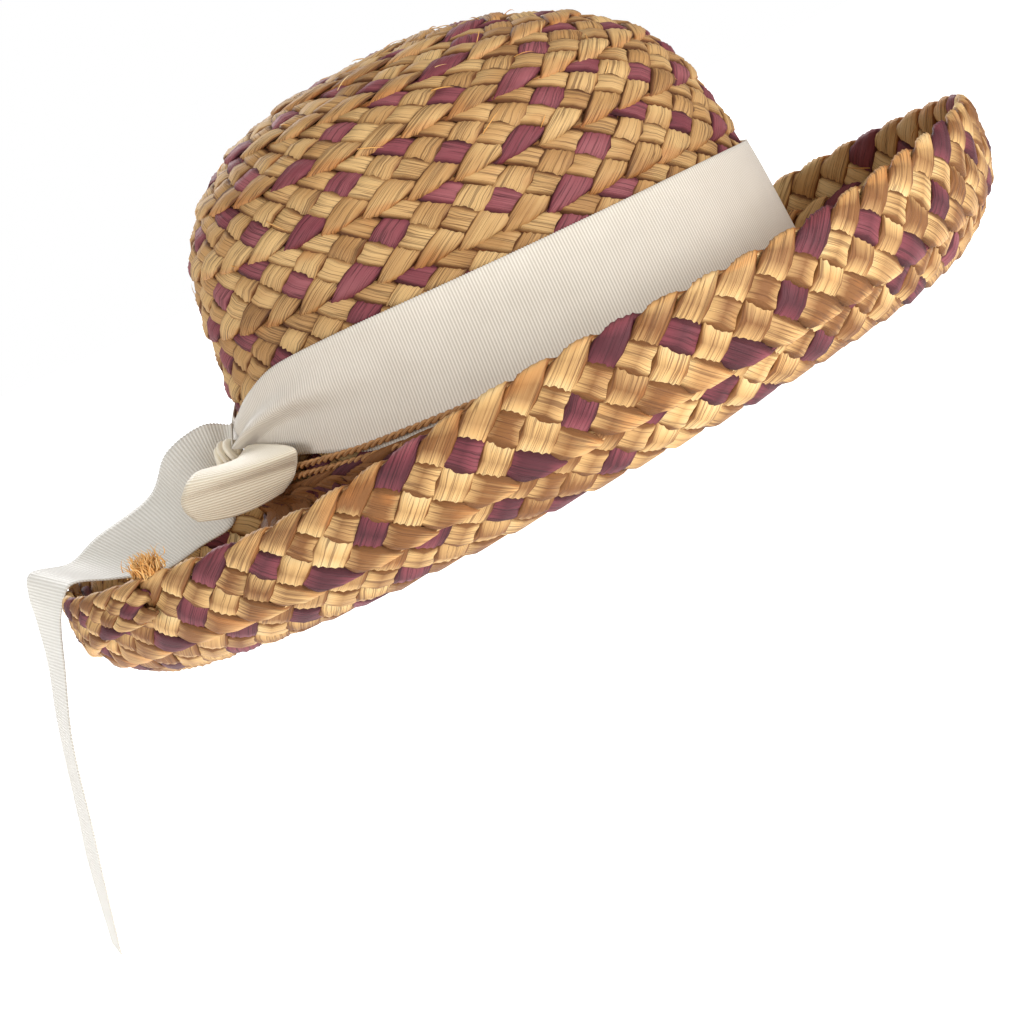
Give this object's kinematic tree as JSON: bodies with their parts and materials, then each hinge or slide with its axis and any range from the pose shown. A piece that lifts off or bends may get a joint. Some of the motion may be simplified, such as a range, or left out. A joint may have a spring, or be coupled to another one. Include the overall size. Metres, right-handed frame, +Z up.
{
  "type": "straw hat with ribbon band",
  "caption": "Plaited straw hat with a domed crown, a rolled-up brim and a ribbon band knotted at the back, its long end hanging over the brim.",
  "frame": {"origin": "middle of the head opening, in the plane where the crown meets the brim", "axes": "+Z up the crown from the head opening, -Y towards the front, +X towards the wearer's left"},
  "size_m": [0.323, 0.4162, 0.2596],
  "materials": {
    "straw": "plaited raffia in natural straw with maroon strands, matte with a faint sheen",
    "ribbon": "cream ribbed ribbon with a soft sheen",
    "cord": "twisted tan-brown cord, matte"
  },
  "bodies": {
    "root": {"crown": "straw", "brim": "straw", "braid_tuft": "straw", "ribbon_band": "ribbon", "bow_knot": "ribbon", "bow_flap": "ribbon", "ribbon_tail": "ribbon", "cord_upper": "cord", "cord_lower": "cord"}
  },
  "joints": []
}
